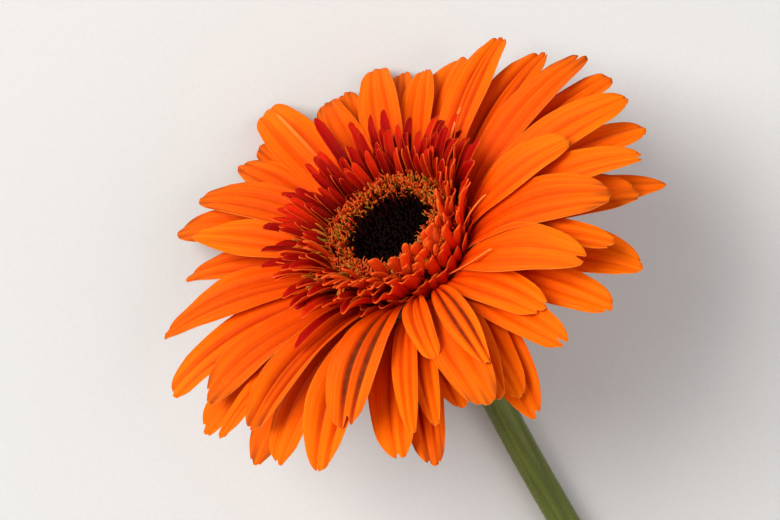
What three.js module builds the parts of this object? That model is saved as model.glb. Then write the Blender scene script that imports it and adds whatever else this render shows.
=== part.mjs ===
// A cut gerbera lying on a flat surface, in millimetres, +Z up.
// The stem lies along X with its cut end at -X. Its neck lifts the flower head at the +X end, and the
// head leans on the tips of its lowest ray florets, with its face turned up and away from the stem.
// Inside the head's own frame the face looks along +Z, and azimuth 0 points down the slope to the surface.
import * as THREE from "three";

// ---- Driving dimensions -------------------------------------------------------------------------
const HEAD_TILT = 47; // degrees from straight up to the way the face looks
const HEAD_YAW = 6; // degrees that the neck turns the face out of the stem's line
const HEAD_HEIGHT = 30; // from the surface up to the head's origin
const STEM_OFFSET = -0.7; // the straight stem's side step from the head's origin
const STEM_LENGTH = 400; // along the surface, from below the neck to the cut end
const NECK_RADIUS = 3.1;
const CUT_END_RADIUS = 3.6;

const RECEPTACLE_RADIUS = 13;
const RECEPTACLE_TOP = 1.5; // height of its top over the head's origin
const RECEPTACLE_NECK = -13.5; // height of the joint to the stem
const GAP = 0.3; // left between pieces that touch
const DISC_STEPS = 28; // round the receptacle and the disc

// ---- Small helpers ------------------------------------------------------------------------------
const rad = THREE.MathUtils.degToRad;
const lerp = THREE.MathUtils.lerp;

function matte(color, roughness = 0.6) {
  return new THREE.MeshStandardMaterial({ color, roughness, metalness: 0 });
}

function named(name, geometry, material) {
  const mesh = new THREE.Mesh(geometry, material);
  mesh.name = name;
  return mesh;
}

function geometryOf(points, faces) {
  const geometry = new THREE.BufferGeometry().setFromPoints(points);
  geometry.setIndex(faces);
  geometry.computeVertexNormals();
  return geometry;
}

/** The two triangles of each cell between ring i and the ring after it. */
function band(faces, here, there, sides) {
  for (let j = 0; j < sides; j++) {
    const k = (j + 1) % sides;
    faces.push(here + j, here + k, there + k, here + j, there + k, there + j);
  }
}

/** A closed solid through rings of points. Each ring runs anticlockwise seen from the far end. */
function loft(rings) {
  const sides = rings[0].length;
  const points = rings.flat();
  const faces = [];
  for (let i = 0; i < rings.length - 1; i++) band(faces, i * sides, (i + 1) * sides, sides);
  for (const [ring, start] of [[rings[0], 0], [rings.at(-1), (rings.length - 1) * sides]]) {
    const middle = new THREE.Vector3();
    ring.forEach((p) => middle.addScaledVector(p, 1 / sides));
    const centre = points.push(middle) - 1;
    for (let j = 0; j < sides; j++) {
      const k = (j + 1) % sides;
      if (start === 0) faces.push(centre, start + k, start + j);
      else faces.push(centre, start + j, start + k);
    }
  }
  return geometryOf(points, faces);
}

/** A closed ring-shaped solid: the same closed section, changed a little at each step round Z. */
function hoop(steps, sectionAt) {
  const rings = [];
  for (let i = 0; i < steps; i++) {
    const angle = (2 * Math.PI * i) / steps;
    const ring = sectionAt(i).map(([r, z]) => new THREE.Vector3(r * Math.cos(angle), r * Math.sin(angle), z));
    rings.push(ring.reverse());
  }
  const sides = rings[0].length;
  const faces = [];
  for (let i = 0; i < steps; i++) band(faces, i * sides, ((i + 1) % steps) * sides, sides);
  return geometryOf(rings.flat(), faces);
}

/** A turned solid. The profile is a list of [radius, height] from the axis at the bottom to the top. */
function turned(profile, segments = DISC_STEPS) {
  return new THREE.LatheGeometry(profile.map(([r, z]) => new THREE.Vector2(r, z)), segments).rotateX(
    Math.PI / 2,
  );
}

// Order ZYX turns the head about Y first, which tips its face towards +X, and then about Z.
const HEAD_TURN = new THREE.Euler(0, rad(HEAD_TILT), rad(HEAD_YAW), "ZYX");
const HEAD_PLACE = new THREE.Matrix4().makeRotationFromEuler(HEAD_TURN).setPosition(0, 0, HEAD_HEIGHT);

// ---- Ray florets: the large outer petals --------------------------------------------------------
const RAY_BASE_RADIUS = RECEPTACLE_RADIUS + GAP + 0.1;
const RAY_ARCH = 50; // degrees that a ray bends down between its base and its tip
const RAY_CLEARANCE = 0.05; // from the surface to a ray that rests on it
const RAY_THICKNESS = 0.55;
const RAY_CUP = 0.07; // depth of the trough across a ray, as a share of its width
const RAY_STATIONS = [0, 0.1, 0.26, 0.48, 0.7, 0.9, 1]; // along the ray, 0 at its base
const RAY_WIDTHS = [0.2, 0.32, 0.66, 0.92, 1, 0.74, 0.3]; // share of the full width at each station
const RAY_THICKNESSES = [1.8, 1.6, 1.2, 1, 1, 1, 1]; // share of RAY_THICKNESS at each station
const RAY_ACROSS = [-1, -0.5, 0, 0.5, 1];

// One row per ray: azimuth, lift of its chord, length along it, width and the tip's sideways sway.
// A low lift is an outer ray, close under its neighbours, and a high lift is an inner one, on top.
const RAYS = [
  [8.5, 17, 39.5, 11, -1],
  [14, 6.5, 37, 8.5, 0],
  [22, 13.5, 38, 8, -0.5],
  [31, 17, 38.5, 9.5, 4],
  [40, 12.5, 42.5, 10, 3],
  [53, 19.5, 34, 9, -3],
  [51, 8, 39.5, 9.5, 1],
  [67, 12, 41, 11, 5],
  [83, 9, 43, 11, 4],
  [99, 13, 38, 11, 0],
  [100, 6, 42, 10.5, -1],
  [109, 11, 41.5, 5.5, 0],
  [115, 7, 41.5, 8.5, 2],
  [119.5, 17, 40, 9.5, 2],
  [123.5, 11, 42, 10.5, 3],
  [139, 14.5, 46.5, 11, 2],
  [147, 19, 39.5, 12, -1],
  [152, 8.5, 40, 10.5, 1],
  [161, 15.5, 43, 5.2, -1],
  [161, 4.5, 40.5, 9, -2],
  [165, 13, 40, 6.5, -1],
  [166, 20.5, 28, 5.5, 2],
  [169, 8.5, 33, 8, 0],
  [176, 14, 43.5, 10, -0.5],
  [182.5, 11.3, 40, 8, -4],
  [182, 18, 37.5, 6, -2],
  [187, 8, 38.5, 8.5, -5],
  [188, 4.5, 41.5, 10, -6],
  [193.5, 12, 41, 8.5, 1],
  [196.5, 15.5, 33.5, 9, 1],
  [207.5, 8.5, 41, 8.5, 0],
  [210.5, 17, 37, 11.5, 1],
  [224, 5.5, 40.5, 11, -4],
  [222.5, 13.5, 38.5, 8, -3],
  [231.5, 17.5, 37.5, 11.5, -2],
  [235.5, 10, 39, 10, 0],
  [240.5, 5.5, 42.5, 8.5, -1],
  [243, 14, 42, 9.5, -2],
  [255.5, 7, 41.5, 10, 0],
  [247.5, 20.5, 29, 10.5, 2],
  [259, 13, 42, 10.5, 0],
  [271, 8.5, 42, 10.5, 2],
  [278, 12, 42, 10.5, 2],
  [294, 8, 41, 10.5, 1],
  [304, 12.5, 40, 9.5, 0],
  [319, 6.5, 39.5, 10.5, -1],
  [324, 11.5, 34.5, 7.5, 1],
  [331.5, 8.5, 36.5, 8, 1],
  [337, 13, 37.5, 9.5, 1],
  [348, 8.5, 35, 8, 0],
  [353.5, 14, 34.5, 9, 0],
];

/** Where a ray leaves the receptacle's flank: outer rays lower down, inner rays higher up. */
function rayBaseHeight(lift) {
  return lerp(-4.6, 0.2, (lift - 4.5) / (19 - 4.5));
}

/** The closed section of a ray at share s of its length, in the ray's own frame: +X out, +Z up. */
function raySection(s, width, thickness, { lift, length, sway, arch }) {
  const start = rad(lift + RAY_ARCH / 2);
  const turn = -rad(arch);
  const slope = start + turn * s;
  const out = (length / turn) * (Math.sin(slope) - Math.sin(start));
  const up = (length / turn) * (Math.cos(start) - Math.cos(slope));
  const at = (v, side) => {
    const rise = RAY_CUP * width * (v * v - 0.5) + (side * thickness) / 2;
    return new THREE.Vector3(
      RAY_BASE_RADIUS + out - rise * Math.sin(slope),
      (v * width) / 2 + sway * s * s,
      rayBaseHeight(lift) + up + rise * Math.cos(slope),
    );
  };
  const top = RAY_ACROSS.map((v) => at(v, Math.abs(v) === 1 ? 0 : 1));
  const underside = RAY_ACROSS.slice(1, -1).map((v) => at(v, -1));
  return [...top, ...underside.reverse()];
}

function rayRings([, lift, length, width, sway], arch) {
  return RAY_STATIONS.map((s, i) =>
    raySection(s, width * RAY_WIDTHS[i], RAY_THICKNESS * RAY_THICKNESSES[i], { lift, length, sway, arch }),
  );
}

/** How far a ray clears the surface, with the head in its place. */
function clearance(rings, azimuth) {
  const turn = new THREE.Matrix4().makeRotationZ(rad(azimuth)).premultiply(HEAD_PLACE);
  return Math.min(...rings.flat().map((p) => p.clone().applyMatrix4(turn).z));
}

/** A ray that would reach below the surface bends down less, so that it rests on the surface. */
function rayFloret(row, index) {
  let arch = RAY_ARCH;
  let rings = rayRings(row, arch);
  while (clearance(rings, row[0]) < RAY_CLEARANCE) rings = rayRings(row, (arch -= 0.25));
  const name = "ray_floret_" + String(index + 1).padStart(2, "0");
  const mesh = named(name, loft(rings.map((ring) => ring.reverse())), matte(0xf26a0a));
  mesh.rotation.z = rad(row[0]);
  return mesh;
}

// ---- Rows of small florets and bracts, each joined at its foot into one crown --------------------
/**
 * A crown of pointed teeth. The path runs [radius, height] from the foot to the tips. On the near side,
 * over the stem, the teeth reach outwards less by the share in nearStand, so they stand up more.
 */
function crown(path, teeth, thickness, notchShare, nearStand = 0) {
  const shares = [0, 0.33, 0.66, 1];
  return hoop(teeth * 2, (i) => {
    const stand = nearStand * Math.max(0, -Math.cos((Math.PI * i) / teeth)) ** 2;
    const foot = path[0][0];
    const whole = new THREE.SplineCurve(path.map(([r, z]) => new THREE.Vector2(lerp(r, foot, stand), z)));
    const reach = i % 2 === 0 ? 1 : notchShare;
    const middle = shares.map((s) => whole.getPoint(s * reach));
    const across = shares.map((s) => {
      const along = whole.getTangent(s * reach);
      return new THREE.Vector2(-along.y, along.x);
    });
    const edge = (side, i) => middle[i].clone().addScaledVector(across[i], (side * thickness) / 2).toArray();
    return [...shares.map((_, i) => edge(-1, i)), ...shares.map((_, i) => edge(1, i)).reverse()];
  });
}

const TRANS_ROWS = {
  trans_florets_outer: {
    teeth: 32,
    stand: 0.4,
    path: [[12.2, 1.7], [15, 4.4], [20, 8], [26.5, 11.2]],
    color: 0xe03a10,
  },
  trans_florets_middle: {
    teeth: 28,
    stand: 0.22,
    path: [[11.1, 2], [13.6, 5.3], [17.4, 9.2], [22.5, 12.4]],
    color: 0xd83410,
  },
  trans_florets_inner: {
    teeth: 24,
    stand: 0.06,
    path: [[10, 2.1], [12.3, 5.8], [15.4, 9.9], [19, 12.6]],
    color: 0xd23212,
  },
};
const BRACT_ROWS = {
  inner_bracts: {
    teeth: 18,
    path: [[6.7, -11.1], [10.2, -8.4], [14.8, -6.4], [20, -4.4]],
    color: 0x5f7a3a,
  },
  outer_bracts: {
    teeth: 14,
    path: [[5.2, -13.4], [9.4, -10.4], [13, -8.6], [16.5, -7.2]],
    color: 0x55702f,
  },
};
const FLORET_THICKNESS = 0.6;
const BRACT_THICKNESS = 0.8;
const FLORET_NOTCH = 0.5; // how far up its crown a notch ends, as a share of a tooth
const BRACT_NOTCH = 0.6;

// ---- The head -----------------------------------------------------------------------------------
function receptacle() {
  const r = RECEPTACLE_RADIUS;
  return turned([
    [0, RECEPTACLE_NECK],
    [NECK_RADIUS + 0.4, RECEPTACLE_NECK],
    [4.4, -12],
    [8.2, -8.6],
    [r - 1.2, -6.6],
    [r, -4.6],
    [r, -0.6],
    [r - 1, 0.8],
    [0, RECEPTACLE_TOP],
  ]);
}

function openDiscFlorets() {
  const outside = [[7.3, 1.9], [8.9, 1.9], [10.8, 5.2], [13.9, 8.8]];
  const inside = [[13.1, 9.9], [10.3, 8.6], [9, 6], [8.4, 4.4]];
  return hoop(DISC_STEPS, () => [...outside, ...inside]);
}

function discBuds() {
  const foot = RECEPTACLE_TOP + GAP;
  return turned([[0, foot], [6.6, foot], [8, 4.4], [8.4, 6], [7, 7.2], [3.4, 6.8], [0, 6.4]]);
}

function flowerHead() {
  const head = new THREE.Group();
  head.add(named("receptacle", receptacle(), matte(0x7d9450)));
  for (const [name, row] of Object.entries(BRACT_ROWS)) {
    const bracts = crown(row.path, row.teeth, BRACT_THICKNESS, BRACT_NOTCH);
    head.add(named(name, bracts, matte(row.color, 0.75)));
  }
  RAYS.forEach((ray, index) => head.add(rayFloret(ray, index)));
  for (const [name, row] of Object.entries(TRANS_ROWS)) {
    const florets = crown(row.path, row.teeth, FLORET_THICKNESS, FLORET_NOTCH, row.stand);
    head.add(named(name, florets, matte(row.color)));
  }
  head.add(named("open_disc_florets", openDiscFlorets(), matte(0xc98a1e)));
  head.add(named("disc_buds", discBuds(), matte(0x1c0a08, 0.8)));
  head.rotation.copy(HEAD_TURN);
  head.position.z = HEAD_HEIGHT;
  return head;
}

// ---- The stem -----------------------------------------------------------------------------------
const STEM_SIDES = 12;
const STEM_STEPS = 26;

/** The stem's centreline, from the receptacle down the neck and then along the surface. */
function stemLine() {
  const top = new THREE.Vector3(0, 0, RECEPTACLE_NECK - GAP).applyMatrix4(HEAD_PLACE);
  const down = new THREE.Vector3(0, 0, -1).applyEuler(HEAD_TURN);
  const bendRadius = (top.z - NECK_RADIUS) / (1 - Math.sin(rad(HEAD_TILT)));
  const run = bendRadius * Math.cos(rad(HEAD_TILT)); // the bend's reach along the surface
  const foot = new THREE.Vector3(top.x - run, STEM_OFFSET, NECK_RADIUS);
  const bend = new THREE.CubicBezierCurve3(
    top,
    top.clone().addScaledVector(down, run * 0.4),
    foot.clone().add(new THREE.Vector3(run * 0.38, 0, 0)),
    foot,
  );
  const end = new THREE.Vector3(foot.x - STEM_LENGTH, foot.y + 14, CUT_END_RADIUS);
  const lying = new THREE.CubicBezierCurve3(
    foot,
    foot.clone().add(new THREE.Vector3(-STEM_LENGTH * 0.35, 0, 0)),
    new THREE.Vector3(end.x + STEM_LENGTH * 0.3, end.y - 16, lerp(foot.z, end.z, 0.7)),
    end,
  );
  const line = new THREE.CurvePath();
  line.add(bend);
  line.add(lying);
  return line;
}

function stem() {
  const line = stemLine();
  const rings = [];
  for (let i = 0; i <= STEM_STEPS; i++) {
    const share = (i / STEM_STEPS) ** 1.35; // shorter steps round the neck
    const centre = line.getPointAt(share);
    const along = line.getTangentAt(share);
    const across = new THREE.Vector3(0, 0, 1).cross(along).normalize();
    const upward = along.clone().cross(across);
    const radius = lerp(NECK_RADIUS, CUT_END_RADIUS, share);
    centre.z = Math.max(centre.z, radius);
    const ring = [];
    for (let j = 0; j < STEM_SIDES; j++) {
      const angle = (2 * Math.PI * j) / STEM_SIDES;
      ring.push(
        centre
          .clone()
          .addScaledVector(across, radius * Math.cos(angle))
          .addScaledVector(upward, radius * Math.sin(angle)),
      );
    }
    rings.push(ring);
  }
  return named("stem", loft(rings), matte(0x6f8a3c, 0.7));
}

// ---- The whole flower, with its origin under the middle of its bounding box ----------------------
const flower = new THREE.Group();
flower.add(flowerHead(), stem());
const box = new THREE.Box3().setFromObject(flower, true);
const middle = box.getCenter(new THREE.Vector3());
flower.position.set(-middle.x, -middle.y, -box.min.z);

export default flower;
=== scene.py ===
"""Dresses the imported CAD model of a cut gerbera: petals, ruff, disc, green cup and downy stem.

The CAD model says where every piece is. Each class below holds the sizes of one sub-assembly, reads its
place from the CAD nodes, builds its meshes and gives them their finish.
"""

from __future__ import annotations

import logging
import math
from collections.abc import Sequence
from dataclasses import dataclass, field, replace
from enum import Enum

import bpy
import numpy as np
from mathutils import Matrix, Vector


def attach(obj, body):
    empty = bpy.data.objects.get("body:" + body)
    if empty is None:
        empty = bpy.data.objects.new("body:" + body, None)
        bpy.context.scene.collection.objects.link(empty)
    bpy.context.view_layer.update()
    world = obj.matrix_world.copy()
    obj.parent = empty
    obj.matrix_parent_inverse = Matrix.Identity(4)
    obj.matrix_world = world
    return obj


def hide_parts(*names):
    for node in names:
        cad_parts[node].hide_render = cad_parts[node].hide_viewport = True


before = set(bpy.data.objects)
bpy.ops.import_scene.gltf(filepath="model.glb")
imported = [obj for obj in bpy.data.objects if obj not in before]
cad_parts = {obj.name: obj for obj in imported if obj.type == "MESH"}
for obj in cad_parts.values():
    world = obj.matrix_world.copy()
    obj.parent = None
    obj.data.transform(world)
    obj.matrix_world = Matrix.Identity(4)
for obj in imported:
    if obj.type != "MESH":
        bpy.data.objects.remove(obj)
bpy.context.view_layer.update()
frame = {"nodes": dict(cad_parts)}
LOG = logging.getLogger("gerbera")
MM = 0.001
GOLDEN_ANGLE = math.pi * (3 - math.sqrt(5))
RECEPTACLE_TOP = 1.5 * MM  # over the head's origin
WELD = 2e-6  # vertices of a CAD node that are nearer than this are one
Array = np.ndarray
Colour = tuple[float, float, float, float]
Material = bpy.types.Material
Nodes = dict[str, bpy.types.Object]
Rng = np.random.Generator
Socket = bpy.types.NodeSocket


# ---- Vectors ------------------------------------------------------------------------------------


def unit(vectors: Array) -> Array:
    """Returns the vectors, each scaled to a length of 1."""
    return vectors / np.maximum(np.linalg.norm(vectors, axis=-1, keepdims=True), 1e-12)


def ease(values: Array | float, low: float, high: float) -> Array | float:
    """Eases from 0 to 1.

    Args:
        values: What is eased.
        low: Where the result leaves 0.
        high: Where the result reaches 1.

    Returns:
        The eased values, from 0 to 1.
    """
    t = np.clip((np.asarray(values, float) - low) / (high - low), 0, 1)
    return t * t * (3 - 2 * t)


def full_turn(count: int) -> Array:
    """Returns that many evenly spaced angles round a circle, from 0."""
    return np.linspace(0, 2 * math.pi, count, endpoint=False)


def travelled(points: Array) -> Array:
    """Returns how far along a line each of its points lies."""
    return np.concatenate([[0], np.cumsum(np.linalg.norm(np.diff(points, axis=0), axis=1))])


def bell(values: Array | float, centre: float, width: float) -> Array | float:
    """Returns a bell curve of the values, 1 at the centre, with that width to either side."""
    return np.exp(-(((values - centre) / width) ** 2))


# ---- Meshes -------------------------------------------------------------------------------------


class Side(Enum):
    """The two faces of a petal, in the order of their materials."""

    FACE = 0
    BACK = 1


class Surface:
    """Closed shells gathered into one mesh, with what the finishes need at each vertex.

    The map "petal" runs along a shell in its first number and across it in its second. The attribute
    "tone" is one number for each shell, and "blush_and_shade" says how much blush and painted shade a vertex
    takes; on a ray it is how deep in a groove the vertex lies, and grooves are painted darker as shade.
    """

    def __init__(self) -> None:
        """Starts with no shells."""
        self.points: list[Array] = []
        self.maps: list[Array] = []
        self.tones: list[Array] = []
        self.folds: list[Array] = []
        self.faces: list[Sequence[int]] = []
        self.sides: list[int] = []
        self.count = 0

    def _take(self, points: Array, along: Array, across: Array, tone: float, blush_and_shade: Array | None) -> int:
        """Stores the vertices of a shell.

        Args:
            points: The vertices, in metres.
            along: Each vertex's place along the shell, from 0 to 1.
            across: Each vertex's place across the shell, from 0 to 1.
            tone: The shell's own number.
            blush_and_shade: How much blush and painted shade each vertex takes, or None for none.

        Returns:
            The index of the shell's first vertex.
        """
        start = self.count
        self.points.append(points)
        self.maps.append(np.stack([along, across], axis=1))
        self.tones.append(np.full(len(points), tone))
        self.folds.append(np.zeros(len(points)) if blush_and_shade is None else blush_and_shade)
        self.count += len(points)
        return start

    def blade(self, top: Array, under: Array, tone: float, blush_and_shade: Array | None = None) -> None:
        """Adds a closed petal, from a grid of its face and a grid of its back.

        Args:
            top: The face's points, along by across by 3.
            under: The back's points, in the same order.
            tone: The petal's own number.
            blush_and_shade: How much blush and painted groove shade each point of the face takes.
        """
        rows, columns = top.shape[:2]
        along, across = np.meshgrid(np.linspace(0, 1, rows), np.linspace(0, 1, columns), indexing="ij")
        size = rows * columns
        start = self._take(
            np.concatenate([top.reshape(-1, 3), under.reshape(-1, 3)]),
            np.tile(along.ravel(), 2),
            np.tile(across.ravel(), 2),
            tone,
            None if blush_and_shade is None else np.tile(blush_and_shade.ravel(), 2),
        )
        index = np.arange(size).reshape(rows, columns) + start
        quads = np.stack([index[:-1, :-1], index[1:, :-1], index[1:, 1:], index[:-1, 1:]], axis=-1)
        quads = quads.reshape(-1, 4)
        loop = np.concatenate([index[:-1, 0], index[-1, :-1], index[:0:-1, -1], index[0, :0:-1]])
        after = np.roll(loop, -1)
        rim = np.stack([loop + size, after + size, after, loop], axis=-1)
        self.faces += quads.tolist() + (quads[:, ::-1] + size).tolist() + rim.tolist()
        self.sides += [Side.FACE.value] * len(quads) + [Side.BACK.value] * (len(quads) + len(rim))

    def tube(self, rings: Array, tone: float, blush_and_shade: Array | None = None) -> None:
        """Adds a closed tube through rings of points.

        Args:
            rings: The rings' points, rings by points by 3, anticlockwise seen from the far end.
            tone: The tube's own number.
            blush_and_shade: How much blush and painted shade each point takes.
        """
        rows, columns = rings.shape[:2]
        along, across = np.meshgrid(np.linspace(0, 1, rows), np.arange(columns) / columns, indexing="ij")
        folds = None if blush_and_shade is None else blush_and_shade.ravel()
        start = self._take(rings.reshape(-1, 3), along.ravel(), across.ravel(), tone, folds)
        index = np.arange(rows * columns).reshape(rows, columns) + start
        turned = np.roll(index, -1, axis=1)
        quads = np.stack([index[:-1], turned[:-1], turned[1:], index[1:]], axis=-1).reshape(-1, 4)
        made = quads.tolist() + [index[0, ::-1].tolist(), index[-1].tolist()]
        self.faces += made
        self.sides += [Side.FACE.value] * len(made)

    def build(self, name: str, finishes: Sequence[Material], slot: str, *nodes: str) -> None:
        """Makes the object, attaches it to the root body and hides the CAD nodes it replaces.

        Args:
            name: The object's name.
            finishes: The materials of the face and of the back.
            slot: The material slot that it stands for; not used.
            nodes: The CAD nodes that it replaces.
        """
        mesh = bpy.data.meshes.new(name)
        mesh.from_pydata(np.concatenate(self.points).tolist(), [], self.faces)
        corners = np.zeros(len(mesh.loops), np.int32)
        mesh.loops.foreach_get("vertex_index", corners)
        pattern = mesh.uv_layers.new(name="petal")
        pattern.uv.foreach_set("vector", np.concatenate(self.maps)[corners].astype(np.float32).ravel())
        for label, values in (("tone", self.tones), ("blush_and_shade", self.folds)):
            attribute = mesh.attributes.new(label, "FLOAT", "POINT")
            attribute.data.foreach_set("value", np.concatenate(values).astype(np.float32))
        for finish in finishes:
            mesh.materials.append(finish)
        mesh.polygons.foreach_set("material_index", np.array(self.sides, np.int32) % len(finishes))
        mesh.polygons.foreach_set("use_smooth", np.ones(len(mesh.polygons), bool))
        mesh.update()
        piece = bpy.data.objects.new(name, mesh)
        bpy.context.scene.collection.objects.link(piece)
        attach(piece, "root")
        if nodes:
            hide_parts(*nodes)
        LOG.info("%s: %d faces", name, len(mesh.polygons))


def tube_rings(line: Array, radii: Array, sides: int) -> Array:
    """Puts a circle round each point of a line.

    Args:
        line: The points of the centreline.
        radii: The radius at each point.
        sides: How many points each circle has.

    Returns:
        The rings, points of the line by sides by 3.
    """
    along = unit(np.gradient(line, axis=0))
    helper = np.where(np.abs(along[:, 2:3]) > 0.9, np.array([[1.0, 0, 0]]), np.array([[0, 0, 1.0]]))
    across = unit(np.cross(helper, along))
    upward = np.cross(along, across)
    turn = full_turn(sides)
    circle = across[:, None] * np.cos(turn)[None, :, None] + upward[:, None] * np.sin(turn)[None, :, None]
    return line[:, None] + circle * np.asarray(radii)[:, None, None]


def hair_rings(foot: Array, tip: Array, radii: Sequence[float]) -> Array:
    """Returns the rings of one fine straight hair, with its radii at the foot, the middle and the tip."""
    return tube_rings(np.array([foot, (foot + tip) / 2, tip]), np.array(radii), 3)


# ---- The head's own frame -----------------------------------------------------------------------


@dataclass(frozen=True)
class HeadFrame:
    """The flower head's origin and axes. Azimuth 0 runs straight down the slope of its face."""

    origin: Array
    slope: Array
    across: Array
    axis: Array

    @classmethod
    def from_receptacle(cls, nodes: Nodes) -> HeadFrame:
        """Reads the frame from the turned receptacle, whose axis is the head's axis.

        Args:
            nodes: The CAD nodes by name.

        Returns:
            The head's frame.
        """
        cup = node_points(nodes["receptacle"])
        values, vectors = np.linalg.eigh(np.cov(cup.T))
        odd = int(np.argmax(np.abs(values - np.median(values))))
        axis = vectors[:, odd]
        middle = cup.mean(0)
        buds = node_points(nodes["disc_buds"]).mean(0)
        axis = axis * np.sign((buds - middle) @ axis)
        top = ((cup - middle) @ axis).max()
        down = np.array([0, 0, -1.0])
        slope = unit(down - axis * (down @ axis))
        return cls(middle + axis * (top - RECEPTACLE_TOP), slope, np.cross(axis, slope), axis)

    def outward(self, azimuth: Array | float) -> Array:
        """Returns the direction away from the axis at an azimuth in radians."""
        azimuth = np.asarray(azimuth, float)[..., None]
        return self.slope * np.cos(azimuth) + self.across * np.sin(azimuth)

    def around(self, azimuth: Array | float) -> Array:
        """Returns the direction of growing azimuth at an azimuth in radians."""
        azimuth = np.asarray(azimuth, float)[..., None]
        return self.across * np.cos(azimuth) - self.slope * np.sin(azimuth)

    def at(self, radius: Array | float, azimuth: Array | float, height: Array | float) -> Array:
        """Returns points by radius and height in metres and azimuth in radians."""
        radius = np.asarray(radius, float)[..., None]
        height = np.asarray(height, float)[..., None]
        return self.origin + self.outward(azimuth) * radius + self.axis * height


    def turned(self, radii: Array, heights: Array, swelling: Array) -> Array:
        """Turns a profile about the axis.

        Args:
            radii: The profile's radii in metres.
            heights: The profile's heights in metres.
            swelling: What the radii are multiplied by, at evenly spaced azimuths.

        Returns:
            The rings, points of the profile by azimuths by 3.
        """
        azimuth = full_turn(len(swelling))
        azimuths = np.broadcast_to(azimuth, (len(radii), len(swelling)))
        return self.at(radii[:, None] * swelling, azimuths, np.broadcast_to(heights[:, None], azimuths.shape))


def node_points(node: bpy.types.Object) -> Array:
    """Returns the vertices of a CAD node, in the row frame."""
    points = np.zeros(len(node.data.vertices) * 3)
    node.data.vertices.foreach_get("co", points)
    return points.reshape(-1, 3)


def node_layers(node: bpy.types.Object, near: Array) -> list[Array]:
    """Reads a lofted CAD node back as its rings of points.

    Args:
        node: The CAD node, a loft with a cap at each end that fans out from one middle vertex.
        near: A point by the end to start from.

    Returns:
        The rings from that end to the other, each as an array of its points.
    """
    points = node_points(node)
    welded, index = np.unique(np.round(points / WELD), axis=0, return_inverse=True)
    index = index.reshape(-1)
    places = np.zeros((len(welded), 3))
    places[index] = points
    neighbours: list[set[int]] = [set() for _ in places]
    for polygon in node.data.polygons:
        corners = [int(index[v]) for v in polygon.vertices]
        for a, b in zip(corners, corners[1:] + corners[:1]):
            if a != b:
                neighbours[a].add(b)
                neighbours[b].add(a)
    most = max(len(n) for n in neighbours)
    caps = [i for i, n in enumerate(neighbours) if len(n) == most]
    first = min(caps, key=lambda i: float(np.linalg.norm(places[i] - near)))
    seen, layer, rings = {first}, {first}, []
    while layer:
        layer = {n for i in layer for n in neighbours[i]} - seen
        seen |= layer
        if len(layer) > 1:
            rings.append(places[sorted(layer)])
    return rings


# ---- Node trees ---------------------------------------------------------------------------------


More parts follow.
